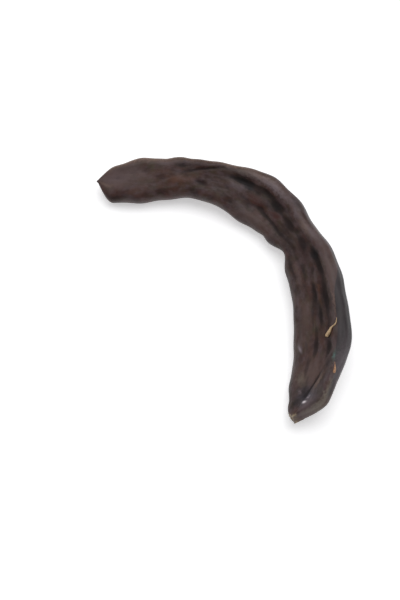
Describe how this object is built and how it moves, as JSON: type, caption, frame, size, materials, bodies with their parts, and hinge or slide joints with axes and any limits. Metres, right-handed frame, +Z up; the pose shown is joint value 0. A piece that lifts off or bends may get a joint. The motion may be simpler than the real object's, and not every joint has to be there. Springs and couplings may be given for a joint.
{
  "type": "carob pod",
  "caption": "Ripe, dried carob pod: a flat, dark brown, leathery legume, curved through more than a right angle, with swollen rims, a beaked tip and a stalk scar.",
  "frame": {"origin": "on the resting surface, below the middle of the pod's bounding box", "axes": "+Z up out of the top face; the style tip points towards -X, the pod bends clockwise seen from above, and the stalk scar points towards -Y; +Y is the longest extent"},
  "size_m": [0.1226, 0.1387, 0.0224],
  "materials": {
    "pod_skin": "dry leathery skin, dark chocolate brown with a soft grey-lilac sheen on the rims, semi-gloss"
  },
  "bodies": {
    "root": {"pod": "pod_skin"}
  },
  "joints": []
}
